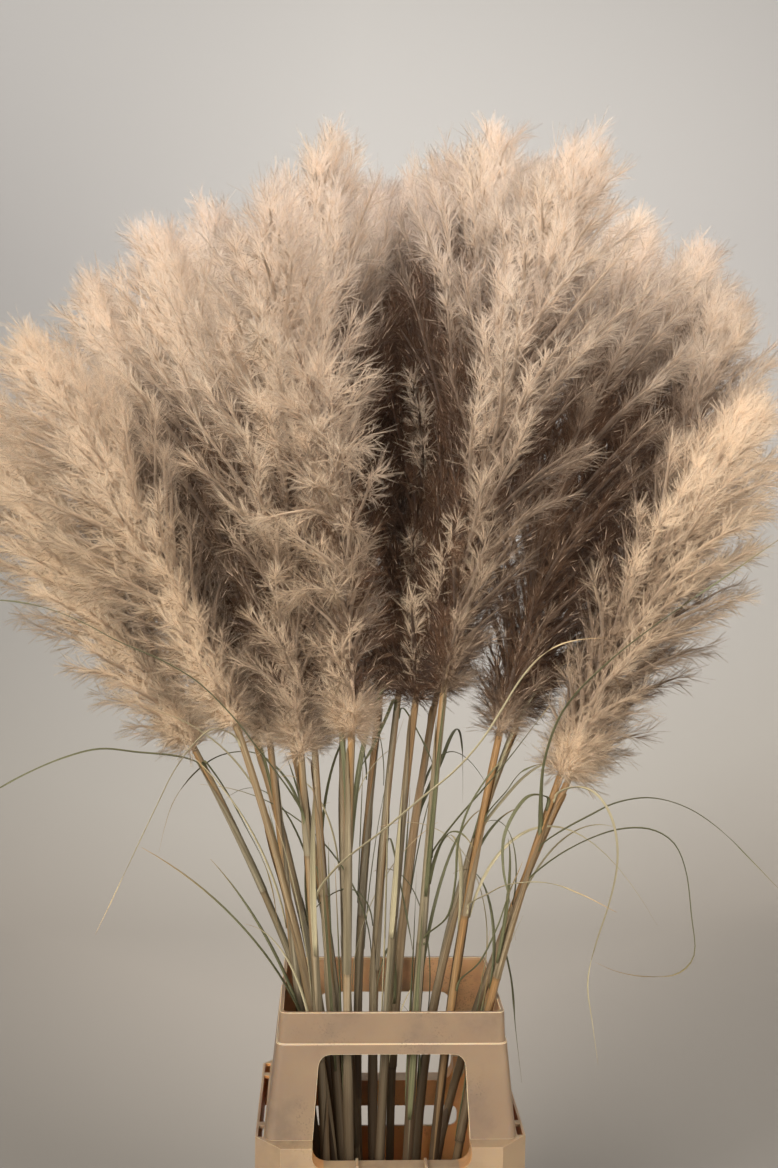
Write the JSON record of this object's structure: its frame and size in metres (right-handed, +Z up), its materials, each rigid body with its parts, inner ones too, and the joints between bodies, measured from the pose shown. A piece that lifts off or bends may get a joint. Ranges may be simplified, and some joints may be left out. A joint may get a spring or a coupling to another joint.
{
  "type": "pampas grass in a flower bucket",
  "caption": "Bunch of dried pampas grass plumes on tall culms with thin arching leaf blades, standing in a plastic florist's bucket with a windowed collar.",
  "frame": {"origin": "middle of the bucket's underside, on the surface it stands on", "axes": "+Z up along the culms, front towards -Y, +X to the right seen from the front"},
  "size_m": [0.9367, 0.6147, 1.3496],
  "materials": {
    "bucket_plastic": "satin",
    "collar_plastic": "satin",
    "culm": "satin",
    "plume": "matte",
    "leaf": "satin",
    "dry_leaf": "matte"
  },
  "bodies": {
    "root": {"bucket": "bucket_plastic", "collar": "collar_plastic", "culm_01": "culm", "plume_01": "plume", "culm_02": "culm", "plume_02": "plume", "culm_03": "culm", "plume_03": "plume", "culm_04": "culm", "plume_04": "plume", "culm_05": "culm", "plume_05": "plume", "culm_06": "culm", "plume_06": "plume", "culm_07": "culm", "plume_07": "plume", "culm_08": "culm", "plume_08": "plume", "culm_09": "culm", "plume_09": "plume", "culm_10": "culm", "plume_10": "plume", "culm_11": "culm", "plume_11": "plume", "culm_12": "culm", "plume_12": "plume", "culm_13": "culm", "plume_13": "plume", "culm_14": "culm", "plume_14": "plume", "culm_15": "culm", "plume_15": "plume", "culm_16": "culm", "plume_16": "plume", "culm_17": "culm", "plume_17": "plume", "culm_18": "culm", "plume_18": "plume", "leaf_left_sweep": "leaf", "leaf_left_hook": "dry_leaf", "leaf_left_hang": "leaf", "leaf_left_rise": "leaf", "leaf_right_arch": "leaf", "leaf_right_kink": "leaf", "leaf_right_loop": "dry_leaf", "leaf_amber_tip": "dry_leaf", "leaf_right_long": "leaf", "leaf_cross_long": "dry_leaf", "leaf_centre_fork": "leaf", "leaf_right_thin": "leaf", "leaf_right_hang": "leaf", "leaf_low_right": "leaf", "leaf_centre_bow": "leaf", "leaf_centre_drop": "leaf", "leaf_centre_short": "leaf", "leaf_centre_low": "leaf", "leaf_rim_drape": "leaf", "leaf_back_arch": "leaf", "leaf_back_left": "leaf", "leaf_back_right": "dry_leaf"}
  },
  "joints": []
}
